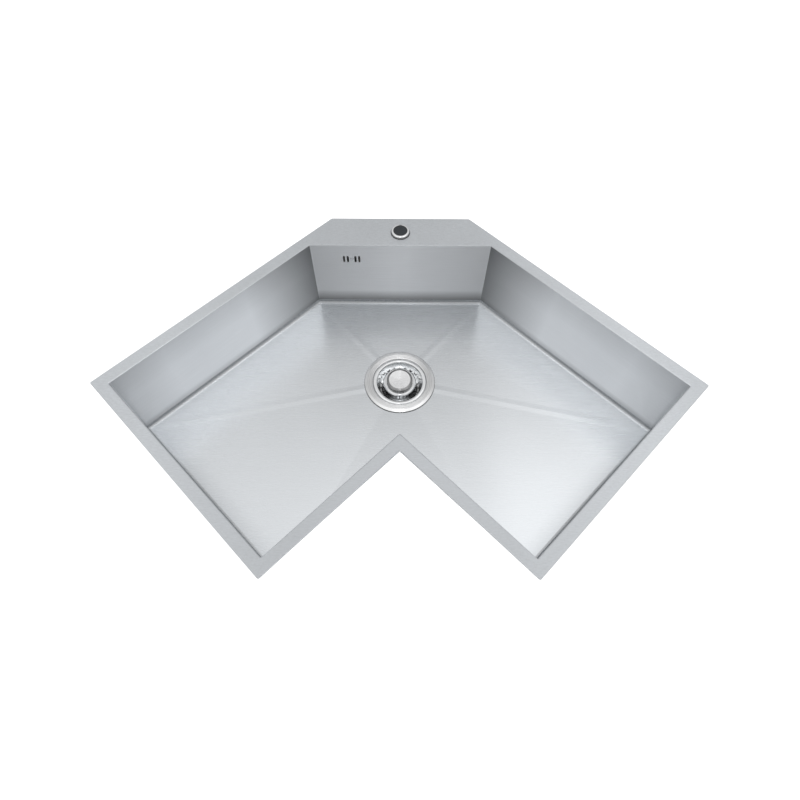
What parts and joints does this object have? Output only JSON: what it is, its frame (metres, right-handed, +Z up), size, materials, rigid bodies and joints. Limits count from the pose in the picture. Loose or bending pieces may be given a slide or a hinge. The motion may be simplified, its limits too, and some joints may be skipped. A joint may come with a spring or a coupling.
{
  "type": "corner kitchen sink",
  "caption": "Chevron-shaped stainless steel corner sink with one deep bowl, a tap ledge, basket strainer waste, overflow and fixing clips.",
  "frame": {"origin": "where the axis of the waste crosses the top of the worktop that the rim rests on", "axes": "+X to the right along the back edge, +Y towards the corner of the room, +Z up out of the bowl"},
  "size_m": [1.0298, 0.6971, 0.284],
  "materials": {
    "wall_steel": "brushed stainless steel",
    "floor_steel": "brushed stainless steel, grain across the bowl",
    "polished_steel": "bright turned and polished steel",
    "chrome": "bright chrome plate",
    "zinc_steel": "bright zinc plate",
    "dark_gloss": "dark glossy plastic",
    "rubber": "matt black rubber",
    "plastic": "moulded white plastic",
    "damping_pad": "matt grey damping sheet",
    "foam": "closed-cell foam strip"
  },
  "bodies": {
    "sink": {"bowl_floor": "floor_steel", "back_wall": "wall_steel", "rear_left_wall": "wall_steel", "end_left_wall": "wall_steel", "notch_left_wall": "wall_steel", "notch_right_wall": "wall_steel", "end_right_wall": "wall_steel", "rear_right_wall": "wall_steel", "ledge_stiffener": "zinc_steel", "rim_seal": "foam", "floor_pad_left": "damping_pad", "floor_pad_right": "damping_pad", "wall_pad_rear_left": "damping_pad", "wall_pad_rear_right": "damping_pad", "wall_pad_end_left": "damping_pad", "wall_pad_end_right": "damping_pad", "clip_brackets": "zinc_steel", "clip_nuts": "zinc_steel", "strainer_cup": "polished_steel", "flange_gasket": "rubber", "under_gasket": "rubber", "waste_body": "plastic", "cup_seal": "rubber", "cup_screws": "zinc_steel", "waste_backnut": "plastic", "overflow_head": "plastic", "overflow_gasket": "rubber", "overflow_screw": "zinc_steel", "overflow_pipe": "plastic", "overflow_head_nut": "plastic", "overflow_branch_nut": "plastic"},
    "basket": {"basket": "polished_steel", "stem_bush": "plastic"},
    "stopper": {"knob": "chrome", "stopper_stem": "polished_steel", "stopper_seal": "rubber", "stopper_plate": "polished_steel", "stem_nut": "zinc_steel"},
    "cap": {"cap_shell": "chrome", "cap_face": "dark_gloss", "cap_seal": "rubber", "cap_collet": "plastic"},
    "clip_1": {"clip_claw_1": "zinc_steel"},
    "clip_2": {"clip_claw_2": "zinc_steel"},
    "clip_3": {"clip_claw_3": "zinc_steel"},
    "clip_4": {"clip_claw_4": "zinc_steel"},
    "clip_5": {"clip_claw_5": "zinc_steel"},
    "clip_6": {"clip_claw_6": "zinc_steel"},
    "clip_7": {"clip_claw_7": "zinc_steel"},
    "clip_8": {"clip_claw_8": "zinc_steel"}
  },
  "joints": [
    {"name": "basket_lift", "type": "slide", "parent": "sink", "child": "basket", "axis": [0, 0, 1], "range_m": [0, 0.235]},
    {"name": "stopper_pull", "type": "slide", "parent": "basket", "child": "stopper", "axis": [0, 0, 1], "range_m": [0, 0.01]},
    {"name": "cap_lift", "type": "slide", "parent": "sink", "child": "cap", "axis": [0, 0, 1], "range_m": [0, 0.03]},
    {"name": "clip_1_swing", "type": "hinge", "parent": "sink", "child": "clip_1", "pos_m": [-0.24195, 0.14427, -0.045], "axis": [0, 0, 1], "range_deg": [0, 90]},
    {"name": "clip_2_swing", "type": "hinge", "parent": "sink", "child": "clip_2", "pos_m": [-0.41289, -0.02667, -0.045], "axis": [0, 0, 1], "range_deg": [0, 90]},
    {"name": "clip_3_swing", "type": "hinge", "parent": "sink", "child": "clip_3", "pos_m": [-0.34655, -0.25887, -0.045], "axis": [0, 0, 1], "range_deg": [0, 90]},
    {"name": "clip_4_swing", "type": "hinge", "parent": "sink", "child": "clip_4", "pos_m": [-0.09341, -0.30427, -0.045], "axis": [0, 0, 1], "range_deg": [0, 90]},
    {"name": "clip_5_swing", "type": "hinge", "parent": "sink", "child": "clip_5", "pos_m": [0.09341, -0.30427, -0.045], "axis": [0, 0, 1], "range_deg": [0, 90]},
    {"name": "clip_6_swing", "type": "hinge", "parent": "sink", "child": "clip_6", "pos_m": [0.34655, -0.25887, -0.045], "axis": [0, 0, 1], "range_deg": [0, 90]},
    {"name": "clip_7_swing", "type": "hinge", "parent": "sink", "child": "clip_7", "pos_m": [0.41289, -0.02667, -0.045], "axis": [0, 0, 1], "range_deg": [0, 90]},
    {"name": "clip_8_swing", "type": "hinge", "parent": "sink", "child": "clip_8", "pos_m": [0.24195, 0.14427, -0.045], "axis": [0, 0, 1], "range_deg": [0, 90]}
  ]
}
